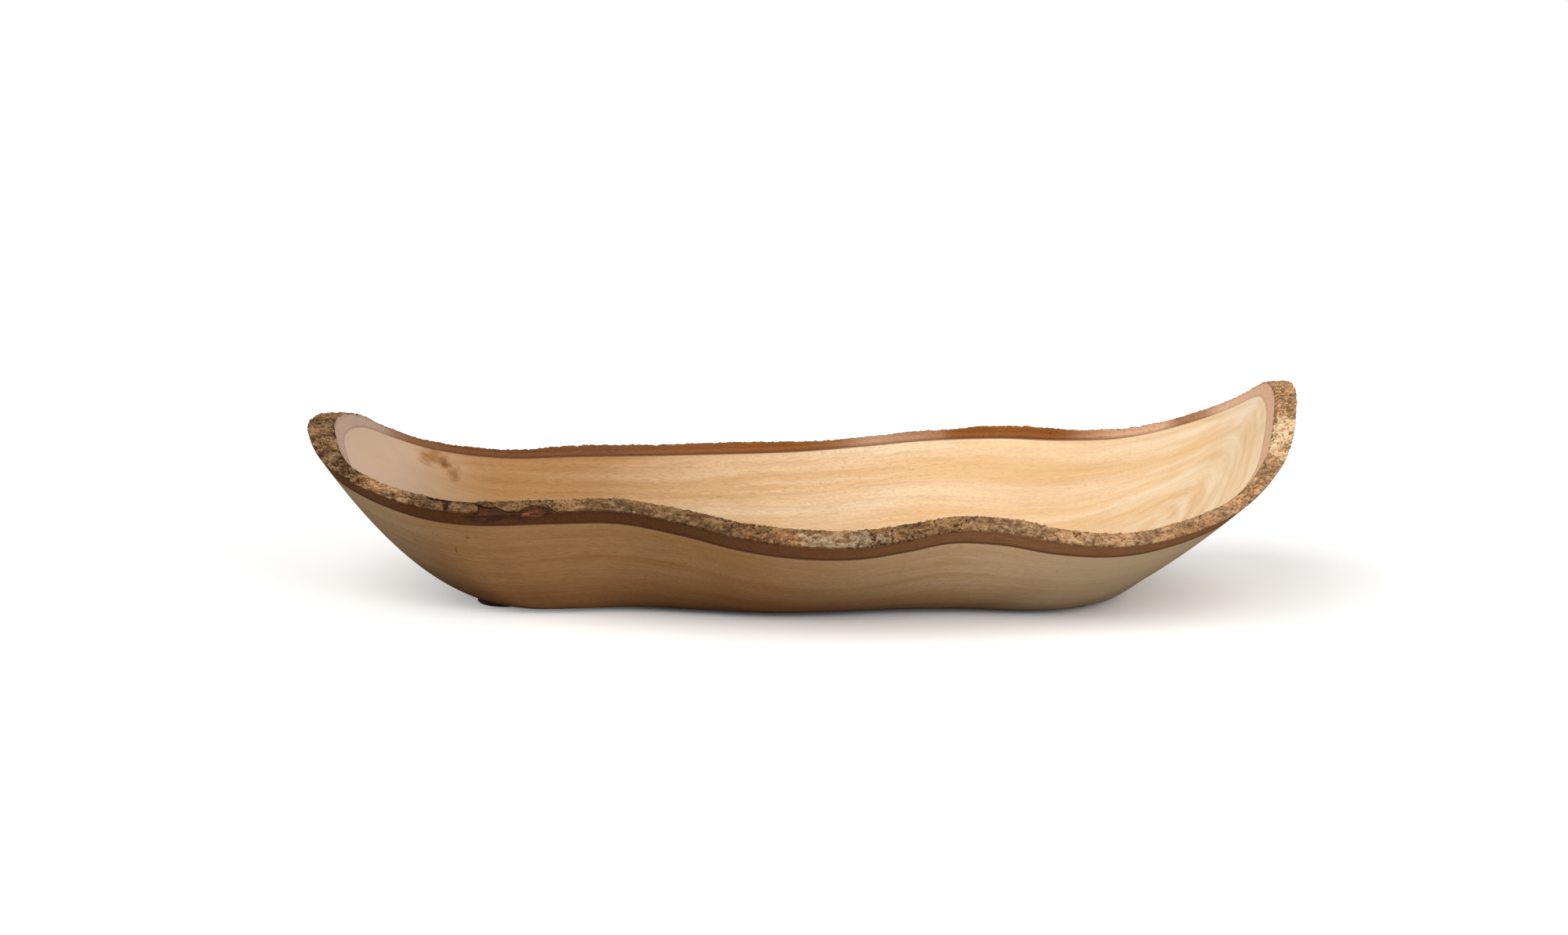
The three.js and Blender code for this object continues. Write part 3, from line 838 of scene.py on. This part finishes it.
# Where the outer part of the rough bark has broken away on the near side: distance along
# X in millimetres, how much of the rim's width is bare there, counted from the outside,
# and how far down the outside the bark is torn, in millimetres
TEAR = np.array([
    (-161.0, 0.00, 0.0), (-159.5, 0.60, 1.6), (-157.6, 0.77, 2.6), (-155.8, 0.70, 3.2),
    (-152.0, 0.67, 3.8), (-147.6, 0.52, 3.9), (-144.6, 0.50, 3.7), (-142.3, 0.43, 3.4),
    (-140.8, 0.33, 3.2), (-139.0, 0.12, 3.0), (-135.6, 0.07, 2.8), (-134.5, 0.10, 2.9),
    (-132.2, 0.20, 3.1), (-130.0, 0.20, 3.2), (-128.5, 0.43, 3.2), (-127.0, 0.55, 3.1),
    (-125.1, 0.50, 2.9), (-122.5, 0.40, 2.5), (-120.7, 0.37, 2.0), (-118.4, 0.27, 1.4),
    (-115.4, 0.06, 0.4), (-114.0, 0.00, 0.0)])
# Where the torn bark is orange rather than dark: from and to along X in millimetres, and
# how strongly
ORANGE = [(-153.0, -148.0, 0.55), (-130.5, -122.0, 1.0)]


def bare_share(p):
    """How much of the rim's width is bare at points p, from 0 to 1, with a ragged border."""
    share = along_x(p, TEAR)
    jags = each_noise(p * (1, 0, 0), 1.3 * MM, 3, 5.5) * 0.1
    share = np.where(share > 0.02, np.clip(share + jags, 0.02, 0.86), share)
    return np.where(p[..., 1] < 0, share, 0.0)


def torn_reach(p):
    """How far down the outside the bark is torn at points p."""
    reach = along_x(p, TEAR, 2) * MM
    return np.where(p[..., 1] < 0, reach * (1 + 0.3 * each_noise(p, 2.5 * MM, 2, 6.5)), 0.0)


# Pale stretches of the inner bark along the hollow's far side: distance along X in
# millimetres, and how pale the bark is
PALE_BARK = np.array([
    (-240, 1.0), (-226, 0.95), (-208, 0.45), (-186, 0.25), (-165, 0.1), (-60, 0.0),
    (0, 0.1), (31, 0.45), (71, 0.4), (84, 0.05), (118, 0.0), (160, 0.6), (182, 0.8),
    (192, 0.4), (204, 0.5), (216, 0.9), (240, 1.0)])


class BOWL_OT_lay_inner_bark(bpy.types.Operator):
    """Lays the smooth inner bark, one unbroken ring on the wood"""
    bl_idname = "bowl.lay_inner_bark"
    bl_label = "Lay the inner bark"

    def execute(self, context):
        places = context.scene.bowl_sizes.places
        # The torn stretch has four times as many places
        torn_part = np.arange(0.1, 0.142, 0.25 / places)
        walls = Walls(np.union1d(np.arange(places) / places, torn_part))
        bark = context.scene.bark_look
        depths = [lerp(walls.wood_depth, bark.rough, step) for step in np.linspace(0, 1, 13)]
        across = np.linspace(0, 1, 16)
        # Rows of points round the ring, each with its share of the way across the rim
        rows = [(walls.edges(depth)[0], 0.0) for depth in depths]
        top = walls.across(bark.rough, across)
        rows += [(top[:, k], across[k]) for k in range(1, len(across) - 1)]
        rows += [(walls.edges(depth)[1], 1.0) for depth in depths[::-2]]
        rows += [(walls.across(walls.wood_depth, [0.5])[:, 0], 0.5)]
        points = np.stack([row for row, _ in rows])
        shares = np.array([share for _, share in rows])[:, None] * np.ones(len(walls.shares))
        depth = walls.depth_of(points)
        # Torn fibres stand up and leave hollows where the rough bark is gone
        gap = bare_share(points) - shares
        bare = np.clip(gap * 8, 0, 1)
        bare *= np.clip((torn_reach(points) - (depth - bark.rough)) / (1.1 * MM), 0, 1)
        bare[-1] = 0
        fibre = each_noise(points * (0.25, 1, 1), 1.5 * MM, 4)
        # Just under the strip that is left, the tear is deepest
        under_strip = np.exp(-(gap / 0.14) ** 2) * (shares > 0.03)
        inward = np.stack([-walls.along[:, 1], walls.along[:, 0], 0 * walls.endness], 1)
        sunk = bare * (0.4 + 1.0 * under_strip - 0.45 * fibre)
        points += sunk[..., None] * (inward * 0.6 - (0, 0, 0.8)) * MM
        orange = np.zeros(shares.shape)
        for low, high, strength in ORANGE:
            here = bump(points[..., 0] / MM, low, high, 2.5) * strength
            orange = np.maximum(orange, here * bare)
        piece = build_mesh(
            "inner_bark_ring", points.reshape(-1, 3),
            ring_faces(len(rows), len(walls.shares), around=True),
            {"under_bark": depth - walls.wood_depth, "within": shares, "torn": bare,
             "orange": orange, "shadow": bare * under_strip,
             "paleness": along_x(points, PALE_BARK)}, 40)
        finish_piece(piece, smooth_bark(), "inner_bark", "inner_bark")
        return {'FINISHED'}


# Where the far rim's bark stands higher than the log's round: from, to, how gently it
# rises and how high, all in millimetres
FAR_RISES = [(-118, -22, 22, 1.1), (92, 118, 18, 1.0)]


def far_rise(p):
    """How much higher the bark stands at points p."""
    rise = sum(bump(p[..., 0] / MM, low, high, ease) * height
               for low, high, ease, height in FAR_RISES)
    return np.where(p[..., 1] > 0, rise, 0.0) * MM


# Chips in the bark's edge: place seen from above and radius, in millimetres
CHIPS = [(224, -37, 1.7), (-166, -68.5, 1.5), (96, -76, 1.4)]
# Place along X, and how far along the bark's scales, which are longest at the left tip
SCALES_ALONG = np.array([(-240, -131.2), (-185, -114.7), (240, 148.8)])
# How bright the rough bark is along X: partly its own darker and paler stretches, partly painted
# light and shade, brighter towards the right
BARK_TONE_AND_LIGHT = np.array([
    (-240, 0.88), (-220, 0.74), (-194, 1.12), (-177, 0.5), (-150, 0.48), (-128, 0.76),
    (-50, 0.5), (0, 0.84), (50, 0.56), (115, 0.98), (190, 1.0), (240, 1.3)])
# Where the points of a plate's side face lie as shares of the way up, and how much of its
# face shows cut bark there, outside from the foot up and inside from the top down
SIDE_STEPS = (0.0, 0.3, 0.6, 0.85)
SIDE_POINTS = len(SIDE_STEPS)
OUTSIDE_CUT, INSIDE_CUT = (1, 1, 0.8, 0.4), (0.9, 1, 1, 1)
# How far the top of the rough bark may sink below the log's round
LOWEST = -0.74 * MM
# Where a split opens behind the flake, along X in millimetres
SPLIT = (-174.5, -158.5)


def bark_relief(p, bark):
    """Height of the rough bark over the log's round, in metres, at points p, with a
    random tone of each scale and how near its border lies."""
    x = p[..., 0] / MM
    lumps = each_noise(p, 15 * MM, 2, 3.1)
    warp = np.stack([each_noise(p, 4.5 * MM, 2, seed) for seed in (11.0, 12.0, 13.0)], -1)
    warped = p + 1.3 * MM * warp
    warped[..., 0] = along_x(warped, SCALES_ALONG) * MM
    gap, tone = each_cell(warped, bark.scale, 7.7)
    # Scales show at the left; further right the bark is only granular
    scaly = np.interp(x, (-160, -80), (1.0, 0.25))
    tone, seam = 0.5 + 0.5 * tone * scaly, np.exp(-gap / 0.13) * scaly
    crust = each_noise(p * (0.7, 1, 1), 0.9 * MM, 4, 9.0)
    fissure = np.clip(1 - np.abs(each_noise(warped, 6.0 * MM, 3, 19.0)) / 0.07, 0, 1)
    calm = np.where(p[..., 1] > 0, 0.75, 1.0) * lerp(1.0, 0.85, np.clip((x - 205) / 20, 0, 1))
    height = 0.42 + calm * (0.5 * lumps + 0.38 * (tone - 0.5) - 0.3 * seam
                            + 0.42 * crust - 0.8 * fissure)
    for chip_x, chip_y, radius in CHIPS:
        away = np.hypot(x - chip_x, p[..., 1] / MM - chip_y)
        height -= 1.6 * np.clip(1.6 + 0.5 * crust - away / radius, 0, 1)
    height += (0.5 * crust - 0.38) * np.clip((np.abs(x) - 205) / 25, 0, 1)
    return bark.relief * np.maximum(height, -0.7), tone, seam


# Marks of the near rim's rough bark: where they begin and end along X in millimetres,
# the shares of the rim's width that they cover, and how strong they are
LICHEN = [(0, 42, -0.1, 0.66, 0.78), (22, 34, 0.4, 0.9, 0.7), (114, 135, 0.1, 0.7, 0.6),
          (-112, -98, 0.0, 0.5, 0.5)]
RUST = [(-27, -4, -0.2, 0.45, 0.5), (36, 44, 0.2, 0.8, 0.45), (176, 196, -0.2, 0.4, 0.4)]


def marks(spots, p, share):
    total = np.zeros(share.shape)
    for low, high, inner, outer, strength in spots:
        spot = bump(p[..., 0] / MM, low, high, 4) * bump(share, inner, outer, 0.2)
        total = np.maximum(total, spot * strength * (p[..., 1] < 0))
    return total


class BOWL_OT_lay_rough_bark(bpy.types.Operator):
    """Lays the plates of rough bark, each between two cracks"""
    bl_idname = "bowl.lay_rough_bark"
    bl_label = "Lay the rough bark"

    def execute(self, context):
        bark = context.scene.bark_look
        sizes = context.scene.bowl_sizes
        rim_length = Outline(RIM_PLAN, sizes.length, sizes.width).length
        finishes = {False: rough_bark("rough_bark", 0.0), True: rough_bark("pale_bark", 0.9)}
        start = FIRST_PLATE
        for name, end in PLATES:
            half_crack = bark.crack / rim_length / 2
            count = round((end - start) * rim_length / bark.grain)
            walls = Walls(np.linspace(start + half_crack, end - half_crack, count))
            piece = self.lay_plate(name, walls, bark)
            pale = name == "bark_right_pale"
            finish_piece(piece, finishes[pale], "pale_bark" if pale else "rough_bark", name)
            start = end
        return {'FINISHED'}

    def lay_plate(self, name, walls, bark):
        """Loops of points round the plate, one at each place along it: up the outside,
        over the top, down the inside."""
        middle = walls.across(bark.rough, [0.5])[:, 0]
        torn = name in ("bark_broken_strip", "bark_near_middle")
        bare = (bare_share(middle) if torn else np.zeros(len(middle)))[:, None]
        # Across the rim, the points lie closer together at both edges
        edge = np.array([0, 0.02, 0.05, 0.09])
        widest = np.linalg.norm(walls.outer - walls.inner, axis=1).max()
        columns = round(widest / bark.grain * 0.9)
        shares = np.concatenate([edge, np.linspace(0.13, 0.87, columns), 1 - edge[::-1]])
        shares = bare + (1 - bare) * shares
        base = walls.across(bark.rough, shares)
        lift = (walls.across(-1 * MM, shares) - base) / (bark.rough + 1 * MM)
        height, tone, seam = bark_relief(base, bark)
        height += far_rise(base)
        width = np.linalg.norm(base[:, -1] - base[:, 0], axis=1)[:, None]
        from_edge = np.minimum((shares - bare), (1 - shares)) / (1 - bare) * width
        ragged = each_noise(base, 1.9 * MM, 3, 17.0) * 0.5 + 0.5
        ragged = np.where(base[..., 1] > 0, ragged * 0.6, ragged)
        height = np.maximum(height - np.exp(-from_edge / (0.5 * MM)) * ragged * MM, LOWEST)
        # A split opens behind the flake, which is round and turns up at its right end
        split = bump(base[..., 0] / MM, *SPLIT, 2.5) * bump(shares, 0.76, 0.96, 0.08)
        split *= base[..., 1] < 0
        if name == "bark_flake":
            way = np.linspace(-1, 1, len(base))[:, None]
            out = (np.hypot(np.clip(way, -0.2, 1), (shares - 0.33) / 0.46)
                   + 0.15 * each_noise(base, 2.0 * MM, 2, 27.0))
            split = np.maximum(split, np.clip((out - 0.95) / 0.12, 0, 1))
            height = 0.5 * height + (0.45 + 0.5 * np.clip(way, 0, 1) ** 2) * MM
        height = lerp(height, LOWEST, np.clip(split, 0, 1))
        top = base + lift * (bark.rough + height)[..., None]
        loop = self.close_section(walls, base, top, lift)
        share, tone, seam, levels = (
            np.pad(values, ((0, 0), (SIDE_POINTS, SIDE_POINTS)), 'edge')
            for values in (shares, tone, seam, height))
        cut = np.concatenate([OUTSIDE_CUT, np.zeros(top.shape[1]), INSIDE_CUT])
        cut = cut * np.ones((len(base), 1))
        # The broken side of a torn plate is painted dark, as the shadow line under the strip's
        # edge: it gets no cut colour and a low relief value
        cut[:, :SIDE_POINTS] = np.where(bare > 0.02, 0, cut[:, :SIDE_POINTS])
        levels[:, :SIDE_POINTS] = np.where(bare > 0.02, -1 * MM, levels[:, :SIDE_POINTS])
        loop = self.fray_ends(walls, loop, bark)
        faces = [face[::-1] for face in ring_faces(*loop.shape[:2])]
        return build_mesh(name + "_plate", loop.reshape(-1, 3), faces, {
            "relief": levels, "cut": cut, "lichen": marks(LICHEN, loop, share),
            "rust": marks(RUST, loop, share), "scale_tone": tone, "seam": seam,
            "tone_and_light": along_x(loop, BARK_TONE_AND_LIGHT), "within": share,
            "paleness": along_x(loop, PALE_BARK)}, 70)

    @staticmethod
    def close_section(walls, base, top, lift):
        """Adds the crumbling side faces, which reach a little over the inner bark's edge."""
        outward = np.stack([walls.along[:, 1], -walls.along[:, 0], 0 * walls.endness], 1)
        sides, proud = [], 0.06 * MM
        for k, way in ((0, 1), (-1, -1)):
            ring = base[:, k]
            crumbled = np.clip(each_noise(ring, 3.0 * MM, 3, 23.0) * 0.6 + 0.5, 0, 1)
            foot = ring - lift[:, k] * (0.15 + 0.8 * crumbled)[:, None] * MM
            sides.append([lerp(foot, top[:, k], step) + outward * proud * way
                          for step in SIDE_STEPS])
        return np.stack(sides[0] + list(top.swapaxes(0, 1)) + sides[1][::-1], 1)

    @staticmethod
    def fray_ends(walls, loop, bark):
        """Makes the cracks between plates wander, and keeps them inside the bowl's size."""
        order = np.arange(len(loop))
        reach = np.clip(1 - np.minimum(order, order[::-1]) * bark.grain / (4 * MM), 0, 1)
        ends = np.where((order < len(order) / 2)[:, None, None], loop[:1], loop[-1:])
        wander = each_noise(ends * (0, 1, 1), 1.8 * MM, 3, 31.0) * 1.3 * MM
        along = np.concatenate([walls.along, np.zeros((len(loop), 1))], 1)
        loop = loop + along[:, None] * (reach[:, None] * wander)[..., None]
        low, high = (np.array(corner) for corner in CAD_BOX)
        return np.clip(loop, low + 0.02 * MM, high - 0.02 * MM)


class BOWL_OT_fit_pads(bpy.types.Operator):
    """Fits the felt pads under the foot"""
    bl_idname = "bowl.fit_pads"
    bl_label = "Fit the felt pads"

    def execute(self, context):
        look = context.scene.pad_look
        pad = self.cut_pad(look)
        holder = build_mesh("felt_pads", [(0, 0, 0)], [])
        modifier = holder.modifiers.new("Pads", 'NODES')
        modifier.node_group = self.pad_tree(pad, wool_felt())
        sockets = {item.name: item.identifier
                   for item in modifier.node_group.interface.items_tree
                   if item.item_type == 'SOCKET' and item.in_out == 'INPUT'}
        middle = ((look.left + look.right) / 2, (look.near + look.far) / 2, 0)
        modifier[sockets["Spacing Along"]] = look.right - look.left
        modifier[sockets["Spacing Across"]] = look.far - look.near
        modifier[sockets["Middle"]] = middle
        placed = holder.evaluated_get(context.evaluated_depsgraph_get())
        mesh = bpy.data.meshes.new_from_object(placed)
        holder.modifiers.remove(modifier)
        holder.data = mesh
        bpy.data.objects.remove(pad)
        finish_piece(holder, None, "felt", "pad_near_left", "pad_far_left",
                     "pad_near_right", "pad_far_right")
        return {'FINISHED'}

    @staticmethod
    def cut_pad(look):
        """One pad: a stamped disc whose edge is slightly furry and pressed in below."""
        radius, count = look.diameter / 2, 96
        outline = [(0.5, 0), (0.86, 0), (0.955, 0.05), (0.985, 0.25), (0.97, 0.5),
                   (0.985, 0.75), (0.96, 0.93), (0.88, 1.0), (0.5, 1.0)]
        rings = []
        for r, z in outline:
            ring = circle(r * radius, count, z * look.height)
            fur = each_noise(ring, 0.7 * MM, 2, 41.0)[:, None] * 0.06 * MM
            rings.append(ring + fur * (ring / radius) * (1, 1, 0))
        return build_mesh("one_pad", np.concatenate(rings), ring_faces(len(rings), count))

    @staticmethod
    def pad_tree(pad, felt):
        """Sets one pad at each corner of a rectangle."""
        n, given, gives = new_tree(
            "pads_at_corners",
            {"Spacing Along": 'Float', "Spacing Across": 'Float', "Middle": 'Vector'},
            {"Pads": 'Geometry'}, 'GeometryNodeTree')
        corners = n.place('GeometryNodeMeshGrid', {
            'Size X': given["Spacing Along"], 'Size Y': given["Spacing Across"],
            'Vertices X': 2, 'Vertices Y': 2})
        moved = n.place('GeometryNodeTransform', {
            'Geometry': corners.outputs['Mesh'], 'Translation': given["Middle"]})
        source = n.place('GeometryNodeObjectInfo', {'Object': pad})
        copies = n.place('GeometryNodeInstanceOnPoints', {
            'Points': moved.outputs['Geometry'], 'Instance': source.outputs['Geometry']})
        real = n.place('GeometryNodeRealizeInstances', {'Geometry': copies.outputs['Instances']})
        done = n.place('GeometryNodeSetMaterial', {
            'Geometry': real.outputs['Geometry'], 'Material': felt})
        n.link(done.outputs['Geometry'], gives["Pads"])
        return n.tree


# The camera stands where the photograph was taken from
CAMERA_PLACE = Vector((0.0, -1.6413, 0.4113))
CAMERA_TILT = math.radians(14)
IMAGE_SIZE = (2000, 1193)
FOCAL_PIXELS = 4377.5
AXIS_PIXEL = (1022, 747)
# The soft light comes from here, and the weak one stands there and faces the bowl
KEY_FROM = (-0.62, -0.42, 0.66)
FRONT_PLACE, FRONT_AIM = Vector((1.05, -1.05, 0.42)), Vector((0.1, 0, 0.04))


class BOWL_OT_set_stage(bpy.types.Operator):
    """Sets the floor, the soft light and the camera"""
    bl_idname = "bowl.set_stage"
    bl_label = "Set the stage"

    def execute(self, context):
        look = context.scene.studio_look
        self.set_camera(context.scene)
        self.lay_floor(look)
        self.light(context.scene, look)
        context.scene.view_settings.view_transform = 'Standard'
        return {'FINISHED'}

    @staticmethod
    def set_camera(scene):
        lens = bpy.data.cameras.new("camera")
        lens.sensor_width = 36
        lens.lens = FOCAL_PIXELS / IMAGE_SIZE[0] * lens.sensor_width
        lens.clip_start, lens.clip_end = 0.05, 30
        camera = new_object("camera", lens)
        ahead = Vector((0, math.cos(CAMERA_TILT), -math.sin(CAMERA_TILT)))
        up = Vector((0, math.sin(CAMERA_TILT), math.cos(CAMERA_TILT)))
        right = Vector((1, 0, 0))
        aim = (ahead + right * ((IMAGE_SIZE[0] / 2 - AXIS_PIXEL[0]) / FOCAL_PIXELS)
               + up * ((AXIS_PIXEL[1] - IMAGE_SIZE[1] / 2) / FOCAL_PIXELS))
        camera.location = CAMERA_PLACE
        camera.rotation_euler = aim.to_track_quat('-Z', 'Y').to_euler()
        scene.camera = camera

    @staticmethod
    def lay_floor(look):
        """A pale floor that melts into the white surroundings and keeps the shadow."""
        half, count = 2.4, 48
        floor = build_mesh("floor", circle(half, count), [tuple(range(count))])
        material, n, shader, where = new_material("pale_floor", 0.9)
        n.tree.nodes.remove(shader)
        seen = n.place('ShaderNodeLightPath').outputs['Is Camera Ray']
        dull = tuple(part * look.bounce for part in look.floor)
        matt = n.place('ShaderNodeBsdfDiffuse', {'Color': n.mix(seen, dull, look.floor)})
        # Round the foot the floor keeps its full shadow
        aside = n.vectors('SUBTRACT', where, (0.035, 0, 0))
        near = n.length_of(n.stretch(aside, 1 / 0.18, 1 / 0.12, 0))
        whiter = n.times(seen, n.span(near, 0.6, 1.1, look.glow))
        glow = n.place('ShaderNodeEmission', {'Color': (1, 1, 1), 'Strength': whiter})
        both = n.place('ShaderNodeAddShader', {0: matt.outputs[0], 1: glow.outputs[0]})
        clear = n.place('ShaderNodeBsdfTransparent')
        fade = n.place('ShaderNodeMixShader', {
            0: n.span(n.length_of(where), half * 0.5, half * 0.95),
            1: both.outputs[0], 2: clear.outputs[0]})
        n.link(fade.outputs[0], n.tree.nodes["Material Output"].inputs['Surface'])
        floor.data.materials.append(material)

    @staticmethod
    def light(scene, look):
        lamp = bpy.data.lights.new("key_light", 'SUN')
        lamp.energy, lamp.angle = look.key, math.radians(75)
        key = new_object("key_light", lamp)
        key.rotation_euler = Vector(KEY_FROM).to_track_quat('Z', 'Y').to_euler()
        lamp = bpy.data.lights.new("front_light", 'AREA')
        lamp.energy, lamp.size = look.front, 0.8
        front = new_object("front_light", lamp)
        front.location = FRONT_PLACE
        front.rotation_euler = (FRONT_PLACE - FRONT_AIM).to_track_quat('Z', 'Y').to_euler()
        scene.world = world = bpy.data.worlds.new("surroundings")
        world.use_nodes = True
        n = Nodes(world.node_tree)
        path = n.place('ShaderNodeLightPath').outputs
        seen = n.maths('MAXIMUM', path['Is Camera Ray'],
                       n.maths('MAXIMUM', path['Is Glossy Ray'], path['Is Transmission Ray']))
        back = n.tree.nodes["Background"].inputs
        n.link((1, 1, 1), back['Color'])
        n.link(n.times_plus(seen, 1.0 - look.sky, look.sky), back['Strength'])


class BOWL_PT_panel(bpy.types.Panel):
    """Lists the steps that make the bowl"""
    bl_label = "Natural-edge bowl"
    bl_idname = "BOWL_PT_panel"
    bl_space_type = 'VIEW_3D'
    bl_region_type = 'UI'
    bl_category = "Bowl"

    def draw(self, context):
        for operator in STEPS:
            self.layout.operator(operator.bl_idname)
        for look in LOOKS:
            self.layout.label(text=look)
            group = getattr(context.scene, look)
            for name in group.__annotations__:
                self.layout.prop(group, name)


STEPS = (BOWL_OT_carve_wood, BOWL_OT_lay_inner_bark, BOWL_OT_lay_rough_bark,
         BOWL_OT_fit_pads, BOWL_OT_set_stage)
LOOKS = {"bowl_sizes": BowlSizes, "wood_look": WoodLook, "bark_look": BarkLook,
         "pad_look": PadLook, "studio_look": StudioLook}


def register():
    for kind in (*LOOKS.values(), *STEPS, BOWL_PT_panel):
        bpy.utils.register_class(kind)
    for name, kind in LOOKS.items():
        setattr(bpy.types.Scene, name, PointerProperty(type=kind))


def unregister():
    for name in LOOKS:
        delattr(bpy.types.Scene, name)
    for kind in (BOWL_PT_panel, *reversed(STEPS), *reversed(LOOKS.values())):
        bpy.utils.unregister_class(kind)


def main():
    register()
    bpy.ops.bowl.carve_wood()
    bpy.ops.bowl.lay_inner_bark()
    bpy.ops.bowl.lay_rough_bark()
    bpy.ops.bowl.fit_pads()
    bpy.ops.bowl.set_stage()


if __name__ == "__main__":
    main()
